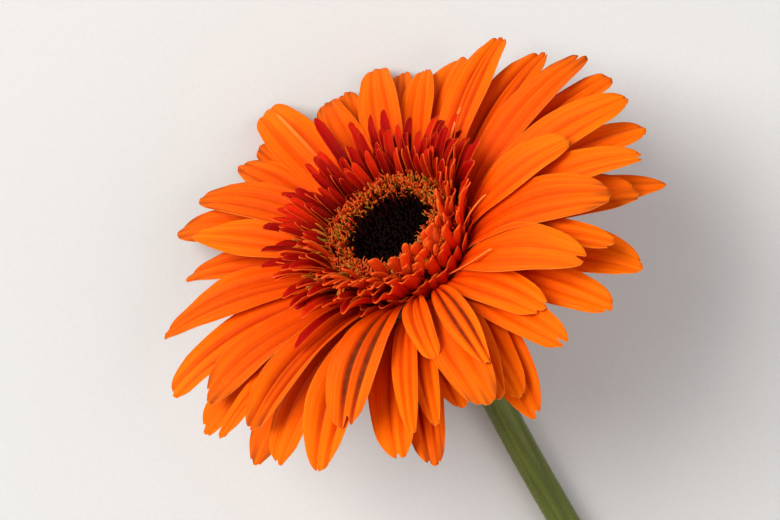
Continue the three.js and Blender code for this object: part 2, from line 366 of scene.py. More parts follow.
class Paint:
    """A material's node tree, with short ways to add the nodes that the finishes share."""

    def __init__(self, name: str) -> None:
        """Makes the material and keeps its shader."""
        self.material = bpy.data.materials.new(name)
        self.material.use_nodes = True
        self.tree = self.material.node_tree
        self.shader = self.tree.nodes["Principled BSDF"]

    def node(self, kind: str, **settings: object) -> bpy.types.Node:
        """Adds a node.

        Args:
            kind: The node's type, such as ShaderNodeMath.
            settings: Its properties, and its inputs by their place as in_0, each a value or a socket.

        Returns:
            The new node.
        """
        made = self.tree.nodes.new(kind)
        for key, value in settings.items():
            if not key.startswith("in_"):
                setattr(made, key, value)
        for key, value in settings.items():
            if key.startswith("in_"):
                self.plug(made.inputs[int(key[3:])], value)
        return made

    def plug(self, socket: Socket, value: object) -> None:
        """Links or sets a socket, according to what the value is."""
        if isinstance(value, Socket):
            self.tree.links.new(value, socket)
        else:
            socket.default_value = value

    def math(self, operation: str, a: object, b: object = 0.0, clamp: bool = False) -> Socket:
        """Returns the result of a math node on two numbers or sockets."""
        return self.node("ShaderNodeMath", operation=operation, use_clamp=clamp, in_0=a, in_1=b).outputs[0]

    def times(self, a: object, b: object) -> Socket:
        """Returns the product of two numbers or sockets."""
        return self.math("MULTIPLY", a, b)

    def span(self, value: object, low: float, high: float, start: float = 0.0, end: float = 1.0) -> Socket:
        """Returns the value eased from start to end as it goes from low to high."""
        made = self.node("ShaderNodeMapRange", interpolation_type="SMOOTHSTEP", in_0=value)
        for place, number in zip((1, 2, 3, 4), (low, high, start, end)):
            made.inputs[place].default_value = number
        return made.outputs[0]

    def place(self) -> tuple[Socket, Socket]:
        """Returns the place along and across a shell, each from 0 to 1."""
        pattern = self.node("ShaderNodeUVMap", uv_map="petal")
        parts = self.node("ShaderNodeSeparateXYZ", in_0=pattern.outputs[0])
        return parts.outputs[0], parts.outputs[1]

    def value(self, name: str) -> Socket:
        """Returns a vertex attribute as a number."""
        return self.node("ShaderNodeAttribute", attribute_name=name).outputs["Fac"]

    def vector(self, x: object, y: object, z: object) -> Socket:
        """Returns three numbers or sockets as one vector."""
        return self.node("ShaderNodeCombineXYZ", in_0=x, in_1=y, in_2=z).outputs[0]

    def noise(self, vector: object, scale: float, detail: float = 2.0, roughness: float = 0.5) -> Socket:
        """Returns a noise pattern from 0 to 1, at that scale."""
        made = self.node("ShaderNodeTexNoise", in_0=vector)
        made.inputs["Scale"].default_value = scale
        made.inputs["Detail"].default_value = detail
        made.inputs["Roughness"].default_value = roughness
        return made.outputs["Fac"]

    def metres(self) -> Socket:
        """Returns the place on the object in metres."""
        return self.node("ShaderNodeTexCoord").outputs["Object"]

    def blend(self, share: object, first: object, second: object) -> Socket:
        """Returns a colour mixed from two colours or sockets."""
        made = self.node("ShaderNodeMix", data_type="RGBA", in_0=share)
        self.plug(made.inputs[6], first)
        self.plug(made.inputs[7], second)
        return made.outputs[2]

    def ramp(self, share: object, stops: Sequence[tuple[float, Colour]]) -> Socket:
        """Returns the colour of a ramp with these stops."""
        made = self.node("ShaderNodeValToRGB", in_0=share)
        made.color_ramp.interpolation = "EASE"
        elements = made.color_ramp.elements
        while len(elements) < len(stops):
            elements.new(0.5)
        for element, (place, colour) in zip(elements, stops):
            element.position = place
            element.color = colour
        return made.outputs[0]

    def finish(self, colour: object, roughness: object, height: object, depth: float) -> Material:
        """Connects the shader.

        Args:
            colour: The base colour.
            roughness: The roughness.
            height: The pattern that raises the surface, from 0 to 1.
            depth: How high the pattern's 1 stands, in metres.

        Returns:
            The finished material.
        """
        self.plug(self.shader.inputs["Base Color"], colour)
        self.plug(self.shader.inputs["Roughness"], roughness)
        bump = self.node("ShaderNodeBump")
        bump.inputs["Strength"].default_value = 1.0
        bump.inputs["Distance"].default_value = depth
        self.plug(bump.inputs["Height"], height)
        self.plug(self.shader.inputs["Normal"], bump.outputs[0])
        return self.material


def tint(red: int, green: int, blue: int) -> Colour:
    """Returns a screen colour, given as 0 to 255, as linear light."""
    shares = (red / 255, green / 255, blue / 255)
    linear = [c / 12.92 if c <= 0.04045 else ((c + 0.055) / 1.055) ** 2.4 for c in shares]
    return (*linear, 1.0)


# ---- Finishes -----------------------------------------------------------------------------------


@dataclass(frozen=True)
class PetalFinish:
    """Living petal tissue: veined along its length, paler at its rim, with its grooves painted darker as
    shade.
    """

    name: str
    foot: Colour
    middle: Colour
    tip: Colour
    vein: Colour
    # blush_and_shade: a deeper red, laid at random as the petal's own warmth and painted into the grooves as
    # shade
    blush_and_shade: Colour
    rim: Colour
    # scorch_and_shade: dark brown, for dry scorched tips and as painted shade in the deepest grooves
    scorch_and_shade: Colour = (0.09, 0.025, 0.006, 1.0)
    scorched: float = 0.0
    rim_width: float = 0.035
    rim_strength: float = 0.55
    veins_across: float = 34.0
    vein_strength: float = 0.5
    roughness: float = 0.56
    relief: float = 0.00012
    glow: float = 0.08
    shine: float = 0.12
    fresh: Colour | None = None

    def material(self) -> Material:
        """Returns the material."""
        paint = Paint(self.name)
        along, across = paint.place()
        tone = paint.value("tone")
        shift = paint.times(tone, 31.7)
        stretched = paint.times(along, 1.6), paint.times(across, self.veins_across)
        streak = paint.noise(paint.vector(*stretched, shift), 1.0, 3.0, 0.6)
        wide = paint.times(along, 1.1), paint.times(across, 7.0)
        band = paint.noise(paint.vector(*wide, shift), 1.0, 2.0)
        mottle = paint.noise(paint.metres(), 420.0, 3.0, 0.6)
        place = paint.math("ADD", along, paint.times(paint.math("SUBTRACT", band, 0.5), 0.22))
        colour = paint.ramp(place, [(0.0, self.foot), (0.42, self.middle), (1.0, self.tip)])
        veins = paint.span(streak, 0.42, 0.68, 0.0, self.vein_strength)
        colour = paint.blend(veins, colour, self.vein)
        warm = paint.span(paint.math("ADD", tone, paint.times(band, 0.4)), 0.5, 1.35, 0.0, 0.34)
        colour = paint.blend(warm, colour, self.blush_and_shade)
        if self.fresh:
            few = paint.span(tone, 0.0, 0.42, 0.8, 0.0)
            lively = paint.times(few, paint.span(along, 0.2, 0.9))
            colour = paint.blend(lively, colour, self.fresh)
        # Painted shade: the grooves take the deeper red, and the deepest of them the dark brown, as the shade
        # that falls in them
        groove = paint.value("blush_and_shade")
        colour = paint.blend(paint.math("MULTIPLY", groove, 1.0, True), colour, self.blush_and_shade)
        colour = paint.blend(paint.span(groove, 0.7, 1.5, 0.0, 0.8), colour, self.scorch_and_shade)
        edge = paint.math("ABSOLUTE", paint.math("SUBTRACT", paint.times(across, 2.0), 1.0))
        edge = paint.math("MAXIMUM", edge, paint.span(along, 1 - self.rim_width * 0.8, 1.0, 0.0, 1.0))
        pale = paint.span(edge, 1 - self.rim_width, 1.0, 0.0, self.rim_strength)
        colour = paint.blend(pale, colour, self.rim)
        colour = paint.blend(paint.span(mottle, 0.3, 0.8, 0.0, 0.12), colour, self.tip)
        dry = paint.times(paint.span(along, 0.86, 1.0), paint.span(tone, 0.62, 0.8))
        dry = paint.times(dry, paint.span(band, 0.42, 0.6, 0.0, self.scorched))
        colour = paint.blend(dry, colour, self.scorch_and_shade)
        paint.shader.inputs["Specular IOR Level"].default_value = self.shine
        paint.shader.inputs["Subsurface Weight"].default_value = self.glow
        paint.shader.inputs["Subsurface Radius"].default_value = (1.0, 0.35, 0.08)
        paint.shader.inputs["Subsurface Scale"].default_value = 0.0012
        rough = paint.span(streak, 0.2, 0.8, self.roughness - 0.06, self.roughness + 0.12)
        cells = paint.noise(paint.metres(), 2600.0, 1.0)
        height = paint.math("ADD", paint.times(streak, -1.0), paint.times(cells, 0.12))
        return paint.finish(colour, rough, height, self.relief)


@dataclass(frozen=True)
class GrainFinish:
    """Small crowded pieces, such as stamens and buds: each has a colour of its own between a few."""

    name: str
    shades: tuple[Colour, ...]
    tip: Colour
    tip_share: float = 0.5
    roughness: float = 0.55
    shine: float = 0.3
    relief: float = 0.00005

    def material(self) -> Material:
        """Returns the material."""
        paint = Paint(self.name)
        along, _ = paint.place()
        stops = [(i / max(1, len(self.shades) - 1), shade) for i, shade in enumerate(self.shades)]
        colour = paint.ramp(paint.value("tone"), stops)
        grain = paint.noise(paint.metres(), 3200.0, 2.0)
        colour = paint.blend(paint.span(along, 0.55, 1.0, 0.0, self.tip_share), colour, self.tip)
        colour = paint.blend(paint.span(grain, 0.35, 0.75, 0.0, 0.35), colour, self.shades[0])
        paint.shader.inputs["Specular IOR Level"].default_value = self.shine
        rough = paint.span(grain, 0.2, 0.8, self.roughness - 0.1, self.roughness + 0.1)
        return paint.finish(colour, rough, grain, self.relief)


@dataclass(frozen=True)
class GreenFinish:
    """Green stem and bract tissue under fine down: ribbed lengthwise, freckled and paler on its ribs."""

    name: str
    deep: Colour
    light: Colour
    blush: Colour
    blush_floor: float = 0.0
    ribs: float = 22.0
    length_scale: float = 30.0
    freckles: float = 0.4
    sheen: float = 0.3
    shine: float = 0.4
    roughness: float = 0.55
    relief: float = 0.0001

    def material(self) -> Material:
        """Returns the material."""
        paint = Paint(self.name)
        along, across = paint.place()
        circle = paint.times(across, 2 * math.pi)
        round_ = paint.vector(
            paint.times(paint.math("COSINE", circle), self.ribs / 6.3),
            paint.times(paint.math("SINE", circle), self.ribs / 6.3),
            paint.times(along, self.length_scale),
        )
        rib = paint.noise(round_, 1.6, 2.0)
        freckle = paint.noise(paint.metres(), 900.0, 3.0, 0.65)
        cloud = paint.noise(paint.metres(), 60.0, 2.0)
        colour = paint.blend(paint.span(rib, 0.3, 0.7), self.deep, self.light)
        colour = paint.blend(paint.span(freckle, 0.5, 0.8, 0.0, self.freckles), colour, self.light)
        # Blush where the blush_and_shade attribute says: a blush on the bract tips and towards the stem's
        # cut, painted crimson shade on the cup
        patches = paint.span(cloud, 0.35, 0.75, self.blush_floor, max(0.6, self.blush_floor))
        shaded = paint.times(patches, paint.value("blush_and_shade"))
        colour = paint.blend(shaded, colour, self.blush)
        paint.shader.inputs["Specular IOR Level"].default_value = self.shine
        paint.shader.inputs["Sheen Weight"].default_value = self.sheen
        paint.shader.inputs["Sheen Roughness"].default_value = 0.5
        rough = paint.span(freckle, 0.2, 0.8, self.roughness - 0.08, self.roughness + 0.12)
        height = paint.math("ADD", rib, paint.times(freckle, 0.4))
        return paint.finish(colour, rough, height, self.relief)


RAY_FACE = PetalFinish(
    "ray_petal_face",
    foot=tint(214, 30, 0),
    middle=tint(252, 92, 0),
    tip=tint(255, 116, 0),
    vein=tint(238, 66, 0),
    blush_and_shade=tint(186, 38, 0),
    rim=tint(255, 150, 46),
    scorched=0.5,
    shine=0.06,
)
RAY_BACK = PetalFinish(
    "ray_petal_back",
    foot=tint(210, 84, 26),
    middle=tint(238, 104, 22),
    tip=tint(250, 120, 22),
    vein=tint(204, 70, 14),
    blush_and_shade=tint(180, 46, 10),
    rim=tint(255, 160, 70),
    veins_across=26.0,
    roughness=0.58,
)
# The ruff's inner faces: a deep crimson of their own, darkened further with painted shade, most at the foot
# deep in the ruff
TRANS_FACE_CRIMSON_AND_SHADE = PetalFinish(
    "trans_petal_face_crimson_and_shade",
    foot=tint(52, 1, 4),
    middle=tint(118, 2, 3),
    tip=tint(188, 14, 2),
    vein=tint(76, 1, 4),
    blush_and_shade=tint(54, 1, 4),
    shine=0.05,
    rim=tint(206, 64, 14),
    rim_width=0.12,
    rim_strength=0.5,
    veins_across=9.0,
    glow=0.04,
    fresh=tint(226, 44, 4),
)
TRANS_BACK = PetalFinish(
    "trans_petal_back",
    foot=tint(160, 10, 6),
    middle=tint(224, 38, 6),
    tip=tint(246, 76, 8),
    vein=tint(200, 26, 6),
    blush_and_shade=tint(170, 14, 6),
    rim=tint(246, 112, 30),
    rim_width=0.14,
    rim_strength=0.55,
    veins_across=9.0,
    fresh=tint(246, 92, 30),
)
STRAY = PetalFinish(
    "stray_petal",
    foot=tint(206, 50, 4),
    middle=tint(240, 96, 14),
    tip=tint(250, 140, 50),
    vein=tint(226, 84, 12),
    blush_and_shade=tint(206, 60, 8),
    rim=tint(252, 156, 70),
    veins_across=5.0,
)
STAMENS = GrainFinish(
    "open_floret",
    shades=(tint(116, 6, 2), tint(232, 30, 2), tint(230, 84, 4), tint(150, 116, 8), tint(236, 52, 10)),
    tip=tint(238, 112, 8),
    tip_share=0.34,
)
DISC_FLESH = GrainFinish(
    "disc_flesh",
    shades=(tint(34, 4, 2), tint(84, 12, 4)),
    tip=tint(50, 8, 3),
    roughness=0.75,
    shine=0.04,
)
BUDS = GrainFinish(
    "closed_bud",
    shades=(tint(5, 1, 1), tint(14, 5, 3), tint(26, 9, 6)),
    tip=tint(26, 7, 4),
    tip_share=0.4,
    roughness=0.75,
    shine=0.05,
)
STEM_GREEN = GreenFinish(
    "stem_green",
    tint(74, 84, 12),
    tint(100, 108, 24),
    tint(110, 84, 30),
    ribs=14.0,
    length_scale=8.0,
    freckles=0.18,
    sheen=0.12,
    relief=0.00005,
)
# Its crimson blush, laid near fully over the top flank, is painted shade for the gaps among the florets' feet
CUP_GREEN = GreenFinish(
    "cup_green",
    tint(92, 112, 46),
    tint(134, 150, 78),
    tint(126, 8, 12),
    blush_floor=0.95,
    length_scale=4.0,
    sheen=0.04,
    shine=0.1,
)
BRACT_GREEN = GreenFinish(
    "bract_green", tint(70, 92, 34), tint(112, 132, 58), tint(104, 58, 40), length_scale=6.0
)
STEM_DOWN = GrainFinish(
    "stem_down", shades=(tint(150, 156, 92), tint(184, 188, 134)), tip=tint(206, 208, 164)
)
DOWN = GrainFinish("down", shades=(tint(196, 196, 150), tint(220, 218, 186)), tip=tint(236, 236, 214))
PITH = GrainFinish("pith", shades=(tint(176, 184, 120), tint(206, 210, 156)), tip=tint(206, 210, 156))


# ---- Ray florets --------------------------------------------------------------------------------


@dataclass(frozen=True)
class Skeleton:
    """A petal's middle line, the directions across and out of it, and its largest half width."""

    line: Array
    across: Array
    outward: Array
    half_width: float
    length: float


class Tip(Enum):
    """How a ray ends. Each value is how far its tip tapers, in half widths, and how deep its teeth cut."""

    ROUND = (0.85, 0.35)
    TOOTHED = (1.2, 1.0)
    POINTED = (2.3, 0.3)
    CLEFT = (1.1, 2.6)


TIPS: dict[Tip, tuple[int, ...]] = {
    Tip.ROUND: (1, 2, 22, 35, 40, 42, 45, 48, 49, 51),
    Tip.POINTED: (3, 4, 5, 6, 7, 8, 12, 19, 21, 25, 26, 37, 46),
    Tip.CLEFT: (17, 29, 32, 43),
}


class Groove(Enum):
    """How a ray is grooved. Each value is how deep, and how dark its grooves are painted as shade, against
    the usual.
    """

    PLAIN = (1.0, 1.0)
    DEEP = (1.8, 1.0)
    DARK_SHADED = (1.8, 2.1)


GROOVES: dict[Groove, tuple[int, ...]] = {
    Groove.DEEP: (9, 14, 16, 20, 41, 42, 44, 45),
    Groove.DARK_SHADED: (17, 26),
}


@dataclass
class RayFlorets:
    """The large outer petals. Each one is built along the middle line of its own CAD node."""

    head: HeadFrame
    rows: int = 46
    columns: int = 23
    thickness: float = 0.34 * MM
    groove_depth: float = 0.42 * MM
    # How dark the grooves are painted, as the shade that falls in them
    groove_shade: float = 0.62
    ridge_height: float = 0.2 * MM
    seed: int = 5

    def skeleton(self, node: bpy.types.Object) -> Skeleton:
        """Reads a CAD ray's middle line.

        Args:
            node: The CAD node of the ray.

        Returns:
            Its skeleton, with one entry for each row of the finished petal.
        """
        rings = node_layers(node, self.head.origin)
        middles, sides, widths = [], [], []
        for ring in rings:
            apart = np.linalg.norm(ring[:, None] - ring[None], axis=2)
            a, b = np.unravel_index(int(np.argmax(apart)), apart.shape)
            middles.append((ring[a] + ring[b]) / 2)
            sides.append(ring[b] - ring[a])
            widths.append(float(apart[a, b]) / 2)
        points = np.array(middles)
        reached = travelled(points)
        share = reached / reached[-1]
        fine = np.linspace(-0.04, 1.0, self.rows)
        line = np.stack([np.polyval(np.polyfit(share, points[:, i], 4), fine) for i in range(3)], axis=1)
        outer = points[-1] - self.head.origin
        azimuth = math.atan2(outer @ self.head.across, outer @ self.head.slope)
        around = self.head.around(azimuth)
        signed = np.array([s * np.sign(s @ around) for s in sides])
        across = unit(np.stack([np.interp(fine, share, unit(signed)[:, i]) for i in range(3)], axis=1))
        along = unit(np.gradient(line, axis=0))
        return Skeleton(line, across, unit(np.cross(along, across)), max(widths), float(reached[-1]))

    def outline(self, bones: Skeleton, tip: Tip, rng: Rng) -> tuple[Array, Array, Array]:
        """Lays out the petal's grid on the flat.

        Args:
            bones: The petal's skeleton.
            tip: How it ends.
            rng: The petal's own random numbers.

        Returns:
            The place along the middle line from 0 to 1, the place across from -1 to 1, and the half
            width there, each as a grid.
        """
        t = np.linspace(-1, 1, self.columns)
        v = np.sin(t * math.pi / 2) * 0.45 + t * 0.55
        taper_length, teeth = tip.value
        blunt = bones.half_width / bones.length * taper_length * rng.uniform(0.85, 1.2)
        skew = rng.uniform(-0.25, 0.25)
        round_ = 1 - np.sqrt(np.maximum(0, 1 - v**2))
        end = 1 - blunt * (round_ + skew * v * (1 - np.abs(v)))
        notch = teeth * rng.uniform(0.5, 1.1) * MM / bones.length
        middle = rng.uniform(-0.18, 0.18)
        if tip is Tip.CLEFT or rng.random() < 0.4:
            end -= 1.3 * notch * bell(v, middle, 0.1)
        else:
            end -= notch * (bell(v, middle - 0.3, 0.07) + rng.uniform(0.3, 1) * bell(v, middle + 0.32, 0.07))
        u = np.linspace(0, 1, self.rows)[:, None] * end[None, :]
        widest = rng.uniform(0.55, 0.68)
        claw = 0.2 + 0.8 * np.sin(np.clip(u / widest, 0, 1) * math.pi / 2) ** 1.15
        taper = 1 - rng.uniform(0.34, 0.5) * ease(u, widest, 1.06)
        return u, np.broadcast_to(v, u.shape), bones.half_width * claw * taper

    def shape(self, bones: Skeleton, tip: Tip, groove: Groove, rng: Rng) -> tuple[Array, Array, Array]:
        """Shapes the petal's face and back.

        Args:
            bones: The petal's skeleton.
            tip: How it ends.
            groove: How it is grooved.
            rng: The petal's own random numbers.

        Returns:
            The face's grid, the back's grid and how much painted groove shade each point takes.
        """
        u, v, half = self.outline(bones, tip, rng)
        place = u * (self.rows - 1)
        low = np.clip(place.astype(int), 0, self.rows - 2)
        part = (place - low)[..., None]

        def along(values: Array) -> Array:
            """Returns the skeleton's values at each point of the grid."""
            return values[low] * (1 - part) + values[low + 1] * part

        centre, across, outward = along(bones.line), unit(along(bones.across)), unit(along(bones.outward))
        centre_line = rng.uniform(-0.06, 0.06)
        spread = rng.uniform(0.27, 0.36)
        depth_share, painted_darkness = groove.value
        strength = rng.uniform(0.5, 1.2) * depth_share
        window = ease(u, 0.02, 0.2) * (1 - 0.55 * ease(u, 0.72, 1.0))
        grooves = bell(v, centre_line - spread, 0.1) + bell(v, centre_line + spread, 0.1)
        middle_groove = rng.uniform(0, 1) ** 2 * bell(v, centre_line, 0.07)
        height = -self.groove_depth * strength * window * (grooves + middle_groove)
        ridges = np.cos(math.pi * (v - centre_line) / spread) * (np.abs(v) < 0.95)
        height += self.ridge_height * window * ridges
        cup = rng.uniform(0.1, 0.2) * (1 - 0.9 * ease(u, 0.3, 1.0)) + rng.uniform(-0.05, 0.1)
        height += cup * half * (v**2 - 0.35)
        left, right = rng.uniform(-0.05, 0.14, 2) * bones.half_width
        roll = ease(u, 0.15, 0.6)
        height += roll * (left * ease(-v, 0.55, 1.05) + right * ease(v, 0.55, 1.05))
        wave, phase = rng.uniform(0.03, 0.09) * bones.half_width, rng.uniform(0, 2 * math.pi)
        ripple = np.sin(u * rng.uniform(7, 12) + phase + v * 1.5) * np.abs(v) ** 1.5
        height += wave * ripple * ease(u, 0.2, 0.6)
        height += rng.uniform(-0.5, 0.5) * MM * ease(u, 0.55, 1.0)
        face = centre + across * (v * half)[..., None] + outward * height[..., None]
        depth = self.thickness * (1 - 0.62 * np.abs(v) ** 4) * (1.7 - 0.7 * ease(u, 0.0, 0.3))
        depth *= 1 - 0.5 * ease(u, 0.85, 1.0)
        back = face - outward * depth[..., None]
        # Painted shade: the deeper the groove, the darker it is coloured
        blush_and_shade = self.groove_shade * painted_darkness * strength * window * (grooves + middle_groove)
        return face, back, blush_and_shade

    def build(self, nodes: Nodes) -> None:
        """Builds every ray over its CAD node.

        Args:
            nodes: The CAD nodes by name.
        """
        finishes = (RAY_FACE.material(), RAY_BACK.material())
        for number, name in enumerate(sorted(n for n in nodes if n.startswith("ray_floret_")), start=1):
            rng = np.random.default_rng(self.seed * 1000 + number)
            tip = next((kind for kind, rays in TIPS.items() if number in rays), Tip.TOOTHED)
            groove = next((kind for kind, rays in GROOVES.items() if number in rays), Groove.PLAIN)
            face, back, blush_and_shade = self.shape(self.skeleton(nodes[name]), tip, groove, rng)
            petal = Surface()
            petal.blade(face, back, float(rng.random()), blush_and_shade)
            petal.build("petal_" + name[-2:], finishes, "ray_petal", name)


# ---- The ruff and the bracts: rows of small straps ----------------------------------------------


@dataclass(frozen=True)
class Strap:
    """One small strap-shaped petal or bract in the head's frame. Lengths are in metres."""

    azimuth: float
    radius: float
    height: float
    length: float
    width: float
    rise: float
    fall: float
    lean: float = 0.0
    twist: float = 0.0
    cup: float = 0.35
    point: float = 0.5
    taper: float = 0.22
    thickness: float = 0.28 * MM

    def grids(self, head: HeadFrame, rows: int = 13, columns: int = 7) -> tuple[Array, Array]:
        """Shapes the strap.

        Args:
            head: The head's frame.
            rows: How many points it has along its length.
            columns: How many points it has across.

        Returns:
            The grid of the side that looks up and in, and the grid of the other side.
        """
        u = np.linspace(0, 1, rows)
        slope = self.rise + (self.fall - self.rise) * u**1.3
        step = self.length / (rows - 1)
        out = np.concatenate([[0], np.cumsum(np.cos(slope[:-1]))]) * step
        up = np.concatenate([[0], np.cumsum(np.sin(slope[:-1]))]) * step
        outward, around = head.outward(self.azimuth), head.around(self.azimuth)
        line = head.at(self.radius + out, np.full(rows, self.azimuth), self.height + up)
        line = line + around * (self.lean * self.length * u**1.6)[:, None]
        along = unit(np.gradient(line, axis=0))
        inward = unit(head.axis[None] * np.cos(slope)[:, None] - outward[None] * np.sin(slope)[:, None])
        turn = (self.twist * u)[:, None]
        across = unit(np.cross(inward, along))
        across = unit(across * np.cos(turn) + inward * np.sin(turn))
        normal = unit(np.cross(along, across))
        v = np.linspace(-1, 1, columns)
        end = 1 - self.point * self.width / self.length * (1 - np.sqrt(np.maximum(0, 1 - np.abs(v) ** 1.8)))
        place = u[:, None] * end[None]
        low = np.clip((place * (rows - 1)).astype(int), 0, rows - 2)
        part = (place * (rows - 1) - low)[..., None]
        spread = 0.42 + 0.58 * ease(place, 0.0, 0.55) - self.taper * ease(place, 0.95 - self.taper, 1.05)
        half = self.width / 2 * spread

        def at(values: Array) -> Array:
            """Returns the middle line's values at each point of the grid."""
            return values[low] * (1 - part) + values[low + 1] * part

        rise = self.cup * half * (v**2 - 0.4)
        top = at(line) + at(across) * (v * half)[..., None] + at(normal) * rise[..., None]
        depth = self.thickness * (1 - 0.5 * v**4)[None] * np.ones_like(place)
        return top, top - at(normal) * depth[..., None]


@dataclass(frozen=True)
class RuffRow:
    """One row of trans florets, from its foot on the receptacle to its tips. Angles are in degrees.

    The two numbers of a length and of a fall are for the side away from the stem and the side over it.
    """

    count: int
    radius: float
    height: float
    length: tuple[float, float]
    width: float
    rise: float
    fall: tuple[float, float]


@dataclass(frozen=True)
class Stray:
    """One floret that has grown far out of its row, by place and shape. Angles are in degrees."""

    azimuth: float
    length: float
    width: float
    rise: float
    fall: float
    lean: float
    height: float = 2.5 * MM
    radius: float = 13.2 * MM
    orange: bool = False


@dataclass
class Ruff:
    """The short trans florets between the disc and the rays: crowded rows that stand up over the stem."""

    head: HeadFrame
    rows: dict[str, RuffRow] = field(
        default_factory=lambda: {
            "outer": RuffRow(76, 12.9 * MM, 1.0 * MM, (17.4 * MM, 8.2 * MM), 2.1 * MM, 62, (15, 76)),
            "middle": RuffRow(72, 12.9 * MM, 2.4 * MM, (14.8 * MM, 9.4 * MM), 2.0 * MM, 72, (32, 86)),
            "inner": RuffRow(64, 12.9 * MM, 4.4 * MM, (10.6 * MM, 8.0 * MM), 1.8 * MM, 78, (50, 92)),
        }
    )
    skirt: RuffRow = RuffRow(60, 13.1 * MM, -0.6 * MM, (8.0 * MM, 5.0 * MM), 2.4 * MM, 62, (34, 70))
    strays: tuple[Stray, ...] = (
        Stray(8, 32 * MM, 0.7 * MM, 46, -4, -0.03, orange=True),
        Stray(358, 24 * MM, 2.3 * MM, 52, 8, 0.0),
        Stray(329, 18.5 * MM, 2.2 * MM, 56, 16, 0.04),
        Stray(283, 19 * MM, 0.5 * MM, 60, 15, 0.16, orange=True),
        Stray(228, 13 * MM, 0.4 * MM, 60, 25, 0.25, orange=True),
        Stray(196, 14.5 * MM, 0.65 * MM, 34, 34, 0.45, height=0.8 * MM, orange=True),
        Stray(121, 23 * MM, 2.3 * MM, 50, 2, -0.02, height=0.8 * MM),
        Stray(262, 17 * MM, 2.2 * MM, 62, 26, 0.1),
    )
    upright_towards: float = 203.0
    upright_narrowing: float = 1.8
    seed: int = 11

    def floret(self, row: RuffRow, azimuth: float, rng: Rng) -> Strap:
        """Shapes one floret, which is shorter, broader and more upright the nearer it is to the stem.

        Args:
            row: Its row.
            azimuth: Where it stands, in radians.
            rng: The row's random numbers.

        Returns:
            The floret.
        """
        facing = max(0.0, math.cos(azimuth - math.radians(self.upright_towards)))
        near = facing**self.upright_narrowing
        length = row.length[0] + (row.length[1] - row.length[0]) * near
        fall = row.fall[0] + (row.fall[1] - row.fall[0]) * near
        return Strap(
            azimuth=azimuth,
            radius=row.radius + rng.normal(0, 0.35) * MM,
            height=row.height + rng.normal(0, 0.3) * MM,
            length=length * rng.uniform(0.8, 1.12),
            width=row.width * rng.uniform(0.72, 1.15) * (1 + 0.25 * near),
            rise=math.radians(row.rise + rng.normal(0, 5) + 22 * near),
            fall=math.radians(fall + rng.normal(0, 10)),
            lean=rng.normal(0, 0.1),
            twist=rng.normal(0, 0.32) * (1 - 0.6 * near),
            cup=rng.uniform(0.5, 1.05) * (1 - 0.5 * near),
            point=rng.uniform(0.5, 1.3) * (1 - 0.35 * near),
        )

    def build(self) -> None:
        """Builds the rows, each over its CAD node, with the skirt and the strays in the outer one."""
        finishes = (TRANS_FACE_CRIMSON_AND_SHADE.material(), TRANS_BACK.material())
        orange = Surface()
        for index, (name, row) in enumerate(self.rows.items()):
            rng = np.random.default_rng(self.seed + index)
            surface = Surface()
            for shape in (row, self.skirt) if name == "outer" else (row,):
                for i in range(shape.count):
                    azimuth = 2 * math.pi * (i + 0.5 * index) / shape.count + rng.normal(0, 0.025)
                    floret = self.floret(shape, azimuth, rng)
                    surface.blade(*floret.grids(self.head), float(rng.random()))
            if name == "outer":
                for stray in self.strays:
                    target = orange if stray.orange else surface
                    target.blade(*self.stray(stray).grids(self.head, rows=24), 0.4)
            surface.build("ruff_" + name, finishes, "trans_petal", "trans_florets_" + name)
        orange.build("ruff_strays", (STRAY.material(),), "trans_petal")

    def stray(self, stray: Stray) -> Strap:
        """Returns a stray as a strap."""
        return Strap(
            azimuth=math.radians(stray.azimuth),
            radius=stray.radius,
            height=stray.height,
            length=stray.length,
            width=stray.width,
            rise=math.radians(stray.rise),
            fall=math.radians(stray.fall),
            lean=stray.lean,
            point=1.4,
            thickness=0.25 * MM,
        )


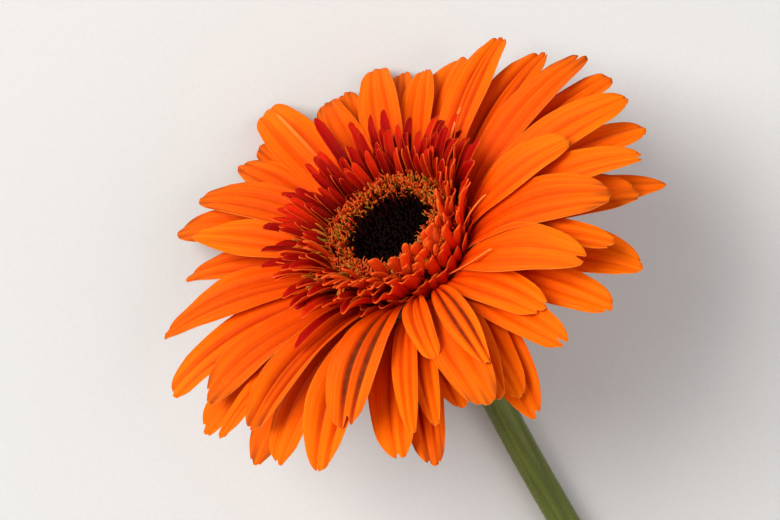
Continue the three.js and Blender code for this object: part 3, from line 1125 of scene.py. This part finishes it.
@dataclass
class Bracts:
    """The rows of narrow, pointed, downy bracts that sheathe the cup and reach under the rays."""

    head: HeadFrame
    seed: int = 23
    down_per_bract: int = 34
    down_radii: tuple[float, ...] = (0.032 * MM, 0.026 * MM, 0.008 * MM)
    inner_count: int = 32
    outer_count: int = 28

    def row(self, node: str, count: int, shape: Strap, seed: int) -> None:
        """Builds one row over its CAD node.

        Args:
            node: The CAD node.
            count: How many bracts the row has.
            shape: The bract that all of them follow, with its angles in radians.
            seed: The row's own seed.
        """
        rng = np.random.default_rng(seed)
        surface, hairs = Surface(), Surface()
        for i in range(count):
            bract = replace(
                shape,
                azimuth=2 * math.pi * (i + 0.5 * (seed % 2)) / count + rng.normal(0, 0.035),
                height=shape.height + rng.normal(0, 0.25) * MM,
                length=shape.length * rng.uniform(0.86, 1.08),
                width=shape.width * rng.uniform(0.85, 1.12),
                rise=shape.rise + math.radians(rng.normal(0, 3)),
                fall=shape.fall + math.radians(rng.normal(0, 6)),
                lean=rng.normal(0, 0.05),
                cup=rng.uniform(0.25, 0.5),
            )
            top, under = bract.grids(self.head)
            blush_and_shade = np.broadcast_to(ease(np.linspace(0, 1, len(top)), 0.6, 1.0)[:, None], top.shape[:2])
            surface.blade(top, under, float(rng.random()), blush_and_shade)
            for _ in range(self.down_per_bract):
                place = int(rng.integers(1, len(under) - 1)), int(rng.integers(0, under.shape[1]))
                away = unit(under[place] - top[place] + rng.normal(size=3) * 0.12 * MM)
                tip = under[place] + away * rng.uniform(0.3, 0.7) * MM
                hairs.tube(hair_rings(under[place], tip, self.down_radii), float(rng.random()))
        surface.build(node.replace("_bracts", "_bract_row"), (BRACT_GREEN.material(),), "bract", node)
        hairs.build(node.replace("_bracts", "_bract_down"), (DOWN.material(),), "bract")

    def build(self) -> None:
        """Builds the inner row and the outer row."""
        inner = Strap(0.0, 8.6 * MM, -9.2 * MM, 13.4 * MM, 2.6 * MM, math.radians(42), math.radians(14))
        outer = Strap(0.0, 6.0 * MM, -12.4 * MM, 12.6 * MM, 2.4 * MM, math.radians(46), math.radians(22))
        pointed = {"point": 2.0, "taper": 0.66, "thickness": 0.4 * MM}
        self.row("inner_bracts", self.inner_count, replace(inner, **pointed), self.seed)
        self.row("outer_bracts", self.outer_count, replace(outer, **pointed), self.seed + 1)


@dataclass
class Receptacle:
    """The turned green cup that carries every floret, ribbed and downy."""

    head: HeadFrame
    radii: tuple[float, ...] = (0.4, 3.0, 3.3, 4.6, 8.3, 11.9, 13.0, 13.0, 12.0, 6.0, 0.4)
    heights: tuple[float, ...] = (-13.5, -13.5, -13.2, -11.8, -8.5, -6.4, -4.5, -0.6, 0.8, 1.4, 1.5)
    # The heights over which the cup turns crimson as painted shade
    painted_shade_band: tuple[float, float] = (-8.0 * MM, -4.5 * MM)
    rows: int = 41
    sides: int = 72
    ribs: int = 18

    def build(self) -> None:
        """Builds the cup over its CAD node. Its top flank, among the feet of the florets, is painted crimson
        as shade.
        """
        turn = full_turn(self.sides)
        shares = np.linspace(0, len(self.radii) - 1, self.rows)
        radii = np.interp(shares, np.arange(len(self.radii)), self.radii) * MM
        heights = np.interp(shares, np.arange(len(self.radii)), self.heights) * MM
        rings = self.head.turned(radii, heights, 1 + 0.012 * np.cos(turn * self.ribs))
        surface = Surface()
        surface.tube(rings, 0.5, np.broadcast_to(ease(heights, *self.painted_shade_band)[:, None], rings.shape[:2]))
        surface.build("green_cup", (CUP_GREEN.material(),), "receptacle", "receptacle")


# ---- The disc -----------------------------------------------------------------------------------


@dataclass(frozen=True)
class Stalk:
    """One kind of small stalk on the disc: its reach and curl each lie between two numbers."""

    reach: tuple[float, float]
    thick: float
    curl: tuple[float, float]
    bead: float


@dataclass
class Disc:
    """The middle of the head: a ring of open florets with stamens round an eye of closed buds."""

    head: HeadFrame
    eye_radius: float = 8.2 * MM
    ring_radius: float = 14.4 * MM
    flesh_radii: tuple[float, ...] = (0.2, 3, 6, 7.6, 9, 10.5, 12.4, 13.9, 13.3, 11.8, 9, 0.2)
    flesh_depths: tuple[float, ...] = (1.6, 1.6, 1.6, 1.5, 1.4, 1.4, 1.5, 1.8, 4.5, 6.6, 7.2, 6.6)
    flesh_sides: int = 96
    bud_count: int = 330
    floret_count: int = 1400
    kinds: tuple[Stalk, ...] = (
        Stalk((1.8 * MM, 3.2 * MM), 0.15 * MM, (0.3, 2.0), 1.2),
        Stalk((1.2 * MM, 2.4 * MM), 0.18 * MM, (0.0, 0.8), 1.9),
        Stalk((2.4 * MM, 3.6 * MM), 0.11 * MM, (0.8, 2.6), 1.0),
    )
    shares: tuple[float, ...] = (0.35, 0.5, 0.15)
    red_tones: tuple[float, float] = (0.12, 0.34)
    gold_tones: tuple[float, float] = (0.3, 1.0)
    style_count: int = 64
    style_azimuth: float = 98.0
    style_spread: float = 24.0
    seed: int = 31

    def ring_height(self, radius: Array | float) -> Array | float:
        """Returns the height of the disc's surface at a radius, in metres."""
        r = np.asarray(radius) / MM
        return (5.6 + 3.2 * ease(r, 6.5, 10.5) - 1.6 * ease(r, 12.0, 15.0)) * MM

    def flesh(self) -> None:
        """Builds the lumpy ring that carries the open florets, over its CAD node."""
        turn = full_turn(self.flesh_sides)
        radii = np.array(self.flesh_radii) * MM
        heights = self.ring_height(radii) - np.array(self.flesh_depths) * MM
        rings = self.head.turned(radii, heights, 1 + 0.02 * np.cos(turn * 31) * np.cos(turn * 13))
        surface = Surface()
        surface.tube(rings[::-1], 0.4)
        surface.build("disc_flesh", (DISC_FLESH.material(),), "disc_floret", "open_disc_florets")

    def stalk(self, kind: Stalk, radius: float, azimuth: float, rng: Rng) -> tuple[Array, Array]:
        """Draws a small curling stalk that stands on the disc.

        Args:
            kind: The kind of stalk.
            radius: Where it stands.
            azimuth: Where it stands.
            rng: Its random numbers.

        Returns:
            Its centreline and the radius at each point of it.
        """
        steps = 7
        u = np.linspace(0, 1, steps)
        bend = rng.uniform(-math.pi, math.pi)
        side = self.head.outward(azimuth) * math.cos(bend) + self.head.around(azimuth) * math.sin(bend)
        tilt = rng.normal(0, 0.25) + rng.uniform(*kind.curl) * u**1.5
        direction = self.head.axis[None] * np.cos(tilt)[:, None] + side[None] * np.sin(tilt)[:, None]
        start = self.head.at(radius, azimuth, self.ring_height(radius) - 1.2 * MM)
        path = np.concatenate([np.zeros((1, 3)), np.cumsum(direction[:-1], axis=0)])
        line = start + path * rng.uniform(*kind.reach) / (steps - 1)
        swelling = 0.8 + (kind.bead - 0.8) * bell(u, 0.84, 0.2)
        radii = kind.thick * swelling * np.sqrt(np.clip(1.12 - u**6, 0.05, 1))
        return line, radii

    def open_florets(self) -> None:
        """Builds the open florets: curling stamens and rounded lobes, redder towards the ruff."""
        rng = np.random.default_rng(self.seed)
        surface = Surface()
        for i in range(self.floret_count):
            share = rng.beta(1.25, 1.1)
            radius = (self.eye_radius + (self.ring_radius - self.eye_radius) * share) * 1.02
            azimuth = i * GOLDEN_ANGLE + rng.normal(0, 0.05)
            kind = self.kinds[int(rng.choice(len(self.kinds), p=self.shares))]
            line, radii = self.stalk(kind, radius, azimuth, rng)
            red = rng.random() < ease(share, 0.35, 1.05)
            tone = rng.uniform(*(self.red_tones if red else self.gold_tones))
            surface.tube(tube_rings(line, radii, 6), float(tone))
        for _ in range(self.style_count):
            surface.blade(*self.style(rng).grids(self.head, rows=9, columns=5), float(rng.uniform(0.45, 0.8)))
        surface.build("open_florets", (STAMENS.material(),), "disc_floret")

    def style(self, rng: Rng) -> Strap:
        """Returns one golden style that curls out over the ruff, on the side where they have opened."""
        reach = rng.uniform(0, 1)
        return Strap(
            azimuth=math.radians(self.style_azimuth + rng.normal(0, self.style_spread)),
            radius=(12.8 + 5.0 * reach) * MM,
            height=(8.6 + 1.6 * reach) * MM,
            length=rng.uniform(2.6, 4.6) * MM,
            width=rng.uniform(0.4, 0.65) * MM,
            rise=math.radians(rng.uniform(45, 85)),
            fall=math.radians(rng.uniform(-25, 30)),
            lean=rng.normal(0, 0.25),
            twist=rng.normal(0, 0.9),
            thickness=0.2 * MM,
        )

    def buds(self) -> None:
        """Builds the closed buds of the dark eye, over their CAD node."""
        rng = np.random.default_rng(self.seed + 1)
        surface = Surface()
        for i in range(self.bud_count):
            radius = self.eye_radius * 1.03 * math.sqrt((i + 0.5) / self.bud_count)
            azimuth = i * GOLDEN_ANGLE
            edge = float(ease(radius / self.eye_radius, 0.55, 1.0))
            reach = (1.9 + 1.2 * edge) * MM
            thick = (0.36 - 0.12 * edge) * MM
            bud = Stalk((reach * 0.85, reach * 1.15), thick, (0.0, 0.35 * edge), 1.25)
            line, radii = self.stalk(bud, radius, azimuth, rng)
            surface.tube(tube_rings(line, radii, 7), float(rng.random() * (0.4 + 0.6 * edge)))
        surface.build("closed_buds", (BUDS.material(),), "disc_bud", "disc_buds")

    def build(self) -> None:
        """Builds the whole disc."""
        self.flesh()
        self.open_florets()
        self.buds()


# ---- The stem -----------------------------------------------------------------------------------


@dataclass
class Stem:
    """The leafless stem: ribbed, downy, and cut clean across at its far end."""

    head: HeadFrame
    sides: int = 40
    neck_share: float = 0.2
    neck_rows: int = 80
    lying_rows: int = 140
    strand_count: int = 12
    down_count: int = 5200
    down_radii: tuple[float, ...] = (0.03 * MM, 0.024 * MM, 0.008 * MM)
    joint_depth: float = 0.7 * MM
    seed: int = 41

    def centreline(self, node: bpy.types.Object) -> tuple[Array, Array]:
        """Reads the stem's line back from its CAD node.

        Args:
            node: The CAD node of the stem.

        Returns:
            The points of the centreline from the neck to the cut end, and the radius at each.
        """
        rings = node_layers(node, self.head.origin)
        points = np.array([ring.mean(0) for ring in rings])
        radii = np.array([np.linalg.norm(r - r.mean(0), axis=1).mean() for r in rings])
        share = travelled(points)
        neck_end = share[-1] * self.neck_share
        neck = np.linspace(0, neck_end, self.neck_rows)
        fine = np.concatenate([neck, np.linspace(neck_end, share[-1], self.lying_rows + 1)[1:]])
        line = np.stack([smooth_through(share, points[:, i], fine) for i in range(3)], axis=1)
        return line, np.interp(fine, share, radii)

    def build(self, nodes: Nodes) -> None:
        """Builds the stem over its CAD node, then its down.

        Args:
            nodes: The CAD nodes by name.
        """
        line, radii = self.centreline(nodes["stem"])
        turn = full_turn(self.sides)
        rings = tube_rings(line, radii, self.sides)
        ribs = 1 + 0.01 * np.cos(turn * 9) + 0.004 * np.cos(turn * 17 + 1)
        rings = line[:, None] + (rings - line[:, None]) * ribs[None, :, None]
        last = rings[-1]
        along = unit(line[-1] - line[-2])
        bevel = line[-1] + (last - line[-1]) * 0.94 + along * 0.12 * MM
        joint = rings[0] - unit(line[1] - line[0]) * self.joint_depth
        rings = np.concatenate([joint[None], rings, bevel[None]])
        surface = Surface()
        blush_and_shade = np.broadcast_to(ease(np.linspace(0, 1, len(rings)), 0.55, 1.0)[:, None], rings.shape[:2])
        surface.tube(rings, 0.5, blush_and_shade=blush_and_shade)
        surface.build("stem_body", (STEM_GREEN.material(),), "stem", "stem")
        self.cut_face(line[-1] + along * 0.1 * MM, along, radii[-1])
        self.down(line, radii)

    def cut_face(self, centre: Array, along: Array, radius: float) -> None:
        """Builds the pale pith that the cut shows, with its ring of sap strands.

        Args:
            centre: The middle of the cut.
            along: The direction out of the cut.
            radius: The stem's radius there.
        """
        across = unit(np.cross(along, np.array([0, 0, 1.0])))
        upward = np.cross(across, along)
        surface = Surface()

        def dome(x: float, y: float, size: float, height: float, tone: float) -> None:
            """Adds a low round dome on the cut face."""
            middle = centre + (across * x + upward * y) * radius
            turn = full_turn(self.sides)[None, :, None]
            shares = np.array([1.0, 0.94, 0.7, 0.1])[:, None, None]
            rises = np.array([0.0, 0.5, 0.9, 1.0])[:, None, None] * height
            spokes = (across * np.cos(turn) - upward * np.sin(turn)) * size * radius
            rings = middle + spokes * shares + along * rises
            surface.tube(rings[:, ::-1] if np.dot(np.cross(across, -upward), along) < 0 else rings, tone)

        dome(0, 0, 0.86, 0.1 * MM, 0.9)
        for angle in full_turn(self.strand_count):
            dome(0.62 * math.cos(angle), 0.62 * math.sin(angle), 0.09, 0.2 * MM, 0.1)
        surface.build("cut_pith", (PITH.material(),), "stem")

    def down(self, line: Array, radii: Array) -> None:
        """Builds the fine hairs, thickest on the neck.

        Args:
            line: The stem's centreline.
            radii: The radius at each of its points.
        """
        rng = np.random.default_rng(self.seed)
        surface = Surface()
        along = unit(np.gradient(line, axis=0))
        for _ in range(self.down_count):
            i = int(len(line) * rng.random() ** 1.5)
            side = unit(np.cross(along[i], rng.normal(size=3)))
            foot = line[i] + side * radii[i] * 0.985 + along[i] * rng.normal(0, 0.8) * MM
            lean = unit(side + along[i] * rng.normal(0.0, 0.45) + rng.normal(size=3) * 0.2)
            reach = rng.uniform(0.35, 0.8) * MM
            tip = foot + lean * reach
            past_cut = max((foot - line[-1]) @ along[-1], (tip - line[-1]) @ along[-1]) > 0
            if tip[2] < 0.05 * MM or past_cut:
                continue
            rings = hair_rings(foot, tip, self.down_radii)
            surface.tube(rings, float(rng.random()))
        surface.build("stem_down", (STEM_DOWN.material(),), "stem")


def smooth_through(places: Array, values: Array, wanted: Array) -> Array:
    """Draws a smooth curve through a few values.

    Args:
        places: Where each value stands, growing.
        values: The values.
        wanted: Where the curve is read.

    Returns:
        The curve's values there.
    """
    slopes = np.gradient(values, places)
    index = np.clip(np.searchsorted(places, wanted) - 1, 0, len(places) - 2)
    gap = places[index + 1] - places[index]
    t = np.clip((wanted - places[index]) / gap, 0, 1)
    start, end = values[index], values[index + 1]
    return (
        (2 * t**3 - 3 * t**2 + 1) * start
        + (t**3 - 2 * t**2 + t) * gap * slopes[index]
        + (3 * t**2 - 2 * t**3) * end
        + (t**3 - t**2) * gap * slopes[index + 1]
    )


# ---- The studio ---------------------------------------------------------------------------------


@dataclass(frozen=True)
class Lamp:
    """A soft square lamp, by its place to the right of, up from and over the head, in metres."""

    name: str
    place: tuple[float, float, float]
    size: float
    power: float
    colour: tuple[float, float, float]


@dataclass
class Studio:
    """A pale floor, soft lights and a camera that looks straight down on the head."""

    head: HeadFrame
    camera_distance: float = 0.39
    lens: float = 90.0
    heading: float = 126.0
    offset: tuple[float, float] = (3.2 * MM, 1.6 * MM)
    sky: float = 0.39
    lamps: tuple[Lamp, ...] = (
        Lamp("key", (-1.15, 0.45, 1.35), 1.2, 37.0, (1.0, 0.97, 0.93)),
        Lamp("fill", (1.1, -0.3, 1.1), 1.2, 8.0, (0.93, 0.96, 1.0)),
    )

    def axes(self) -> tuple[Array, Array]:
        """Returns the directions that are right and up in the picture."""
        facing = math.atan2(self.head.axis[1], self.head.axis[0]) - math.radians(self.heading)
        return (
            np.array([math.cos(facing), math.sin(facing), 0.0]),
            np.array([-math.sin(facing), math.cos(facing), 0.0]),
        )

    def camera(self) -> None:
        """Sets up the camera."""
        right, up = self.axes()
        data = bpy.data.cameras.new("camera")
        data.sensor_width = 36.0
        data.lens = self.lens
        data.clip_end = 20.0
        camera = bpy.data.objects.new("camera", data)
        bpy.context.scene.collection.objects.link(camera)
        place = Matrix((Vector(right), Vector(up), Vector((0, 0, 1)))).transposed().to_4x4()
        middle = self.head.origin - right * self.offset[0] - up * self.offset[1]
        place.translation = Vector(middle) + Vector((0, 0, self.camera_distance))
        camera.matrix_world = place
        bpy.context.scene.camera = camera

    def light(self, lamp: Lamp) -> None:
        """Hangs a lamp so that it points at the head."""
        right, up = self.axes()
        away = right * lamp.place[0] + up * lamp.place[1] + np.array([0, 0, lamp.place[2]])
        data = bpy.data.lights.new(lamp.name, "AREA")
        data.size = lamp.size
        data.energy = lamp.power
        data.color = lamp.colour
        hung = bpy.data.objects.new(lamp.name, data)
        bpy.context.scene.collection.objects.link(hung)
        hung.location = Vector(self.head.origin + away)
        hung.rotation_euler = Vector(-away).to_track_quat("-Z", "Y").to_euler()

    def floor(self) -> None:
        """Lays the pale floor."""
        mesh = bpy.data.meshes.new("floor")
        mesh.from_pydata([(-4, -4, 0), (4, -4, 0), (4, 4, 0), (-4, 4, 0)], [], [(0, 1, 2, 3)])
        floor = bpy.data.objects.new("floor", mesh)
        bpy.context.scene.collection.objects.link(floor)
        paint = Paint("floor")
        grain = paint.noise(paint.metres(), 900.0, 2.0)
        colour = paint.blend(paint.span(grain, 0.2, 0.8), (0.66, 0.655, 0.645, 1), (0.68, 0.675, 0.665, 1))
        mesh.materials.append(paint.finish(colour, 0.85, grain, 0.00001))

    def build(self) -> None:
        """Sets up the floor, lamps, sky and camera."""
        self.floor()
        for lamp in self.lamps:
            self.light(lamp)
        world = bpy.data.worlds.new("studio")
        world.use_nodes = True
        world.node_tree.nodes["Background"].inputs[0].default_value = (1.0, 1.0, 1.0, 1.0)
        world.node_tree.nodes["Background"].inputs[1].default_value = self.sky
        bpy.context.scene.world = world
        bpy.context.scene.view_settings.view_transform = "Standard"
        self.camera()


def main() -> None:
    """Builds the flower piece by piece, then the studio."""
    logging.basicConfig(level=logging.INFO, format="%(name)s %(message)s")
    nodes = frame["nodes"]
    head = HeadFrame.from_receptacle(nodes)
    Studio(head).build()
    RayFlorets(head).build(nodes)
    Ruff(head).build()
    Disc(head).build()
    Receptacle(head).build()
    Bracts(head).build()
    Stem(head).build(nodes)


if __name__ == "__main__":
    main()
